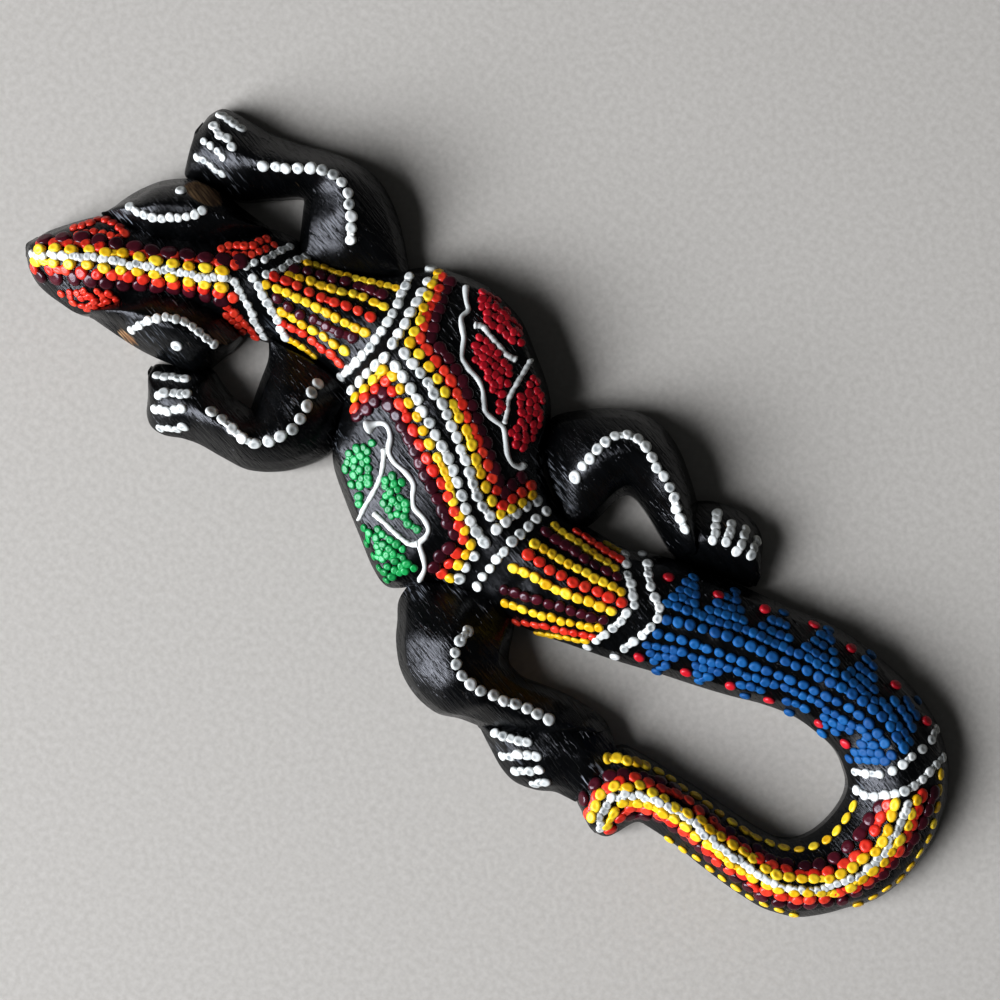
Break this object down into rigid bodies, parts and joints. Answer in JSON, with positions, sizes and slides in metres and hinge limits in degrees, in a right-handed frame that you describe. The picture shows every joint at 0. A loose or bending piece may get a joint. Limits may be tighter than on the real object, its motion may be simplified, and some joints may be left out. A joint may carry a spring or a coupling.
{
  "type": "carved lizard wall figure",
  "caption": "Flat-backed carved wooden lizard, black with raised dot painting, curled tail; lies or hangs flat as a wall decoration.",
  "frame": {"origin": "bottom centre of the box: on the flat back, in the middle of the length and the width", "axes": "+X along the board from the nose towards the bend of the tail, +Y towards the lizard's right side, +Z out of the flat back"},
  "size_m": [0.254, 0.0964, 0.0207],
  "materials": {
    "black_varnished_wood": "satin black varnish over carved light wood, brush streaks and worn brown edges",
    "white_acrylic": "thick white acrylic paint in raised beads",
    "yellow_acrylic": "thick yellow acrylic paint in raised beads",
    "red_acrylic": "thick vermilion acrylic paint in raised beads",
    "maroon_acrylic": "thick dark maroon acrylic paint in raised beads",
    "crimson_acrylic": "thick crimson acrylic paint in fine raised beads",
    "green_acrylic": "thick green acrylic paint in fine raised beads",
    "blue_acrylic": "thick blue acrylic paint in raised beads"
  },
  "bodies": {
    "root": {"trunk": "black_varnished_wood", "hip": "black_varnished_wood", "tail_base": "black_varnished_wood", "tail_bend": "black_varnished_wood", "tail_curl": "black_varnished_wood", "neck": "black_varnished_wood", "brow_right": "black_varnished_wood", "brow_left": "black_varnished_wood", "head": "black_varnished_wood", "front_right_leg": "black_varnished_wood", "front_left_leg": "black_varnished_wood", "rear_right_leg": "black_varnished_wood", "rear_right_foot": "black_varnished_wood", "rear_left_leg": "black_varnished_wood", "rear_left_foot": "black_varnished_wood", "tail_tip": "black_varnished_wood", "eye_dot_right": "white_acrylic", "eye_dot_left": "white_acrylic", "eye_arc_right": "white_acrylic", "eye_arc_left": "white_acrylic", "front_right_leg_beads": "white_acrylic", "front_left_leg_beads": "white_acrylic", "rear_right_leg_beads": "white_acrylic", "rear_left_leg_beads": "white_acrylic", "head_centre_row": "white_acrylic", "head_yellow_row_right": "yellow_acrylic", "head_yellow_row_left": "yellow_acrylic", "right_panel_white_border": "white_acrylic", "right_panel_yellow_border": "yellow_acrylic", "right_panel_red_border": "red_acrylic", "left_panel_white_border": "white_acrylic", "left_panel_yellow_border": "yellow_acrylic", "left_panel_red_border": "red_acrylic", "tail_blue_row_outer": "blue_acrylic", "tail_blue_row_inner": "blue_acrylic", "right_panel_relief_line": "white_acrylic", "right_panel_relief_branch": "white_acrylic", "right_panel_relief_short": "white_acrylic", "left_panel_relief_line": "white_acrylic", "left_panel_relief_branch": "white_acrylic", "left_panel_relief_second": "white_acrylic", "front_right_toe_stripe_1": "white_acrylic", "front_right_toe_stripe_2": "white_acrylic", "front_right_toe_stripe_3": "white_acrylic", "front_right_toe_stripe_4": "white_acrylic", "front_left_toe_stripe_1": "white_acrylic", "front_left_toe_stripe_2": "white_acrylic", "front_left_toe_stripe_3": "white_acrylic", "front_left_toe_stripe_4": "white_acrylic", "rear_right_toe_stripe_1": "white_acrylic", "rear_right_toe_stripe_2": "white_acrylic", "rear_right_toe_stripe_3": "white_acrylic", "rear_right_toe_stripe_4": "white_acrylic", "rear_left_toe_stripe_1": "white_acrylic", "rear_left_toe_stripe_2": "white_acrylic", "rear_left_toe_stripe_3": "white_acrylic", "rear_left_toe_stripe_4": "white_acrylic"}
  },
  "joints": []
}
